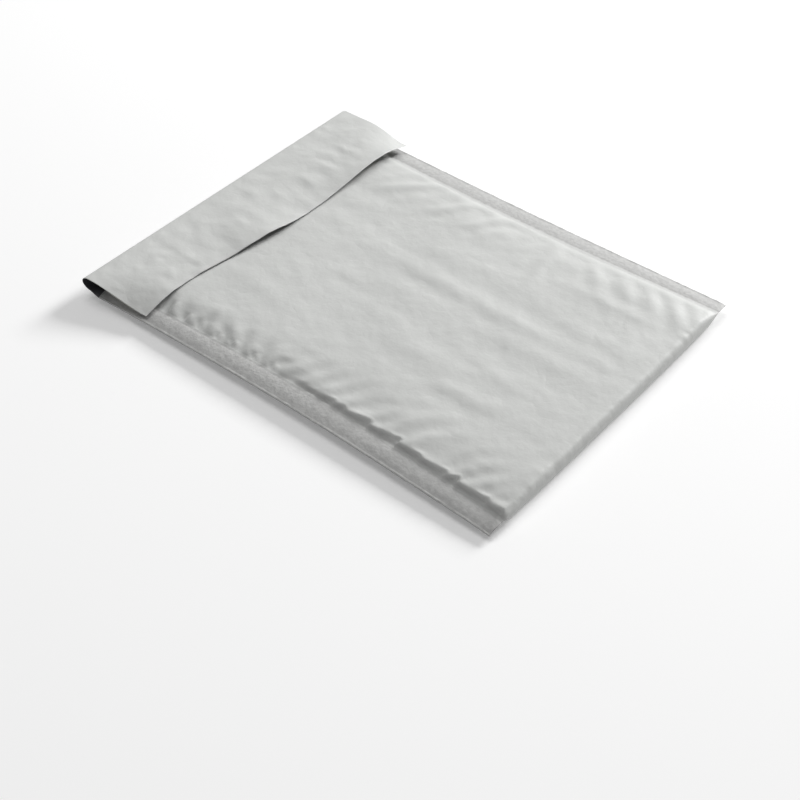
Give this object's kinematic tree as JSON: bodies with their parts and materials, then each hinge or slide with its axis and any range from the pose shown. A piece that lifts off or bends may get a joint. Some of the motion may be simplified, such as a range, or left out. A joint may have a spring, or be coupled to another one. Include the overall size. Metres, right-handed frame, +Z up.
{
  "type": "bubble mailer",
  "caption": "Empty padded mailing bag of grey plastic film, lying flat, with a bubble lining and its flap folded over the front.",
  "frame": {"origin": "on the surface the mailer lies on, under the middle of its outline", "axes": "+Y along the bag towards the fold of the flap, +X across it, +Z up out of the front panel"},
  "size_m": [0.165, 0.2196, 0.0123],
  "materials": {
    "grey_film": "satin",
    "bubble_film": "gloss",
    "adhesive": "gloss",
    "liner_paper": "satin"
  },
  "bodies": {
    "root": {"outer_pouch": "grey_film", "bubble_lining": "bubble_film", "adhesive_strip": "adhesive", "release_liner": "liner_paper"}
  },
  "joints": []
}
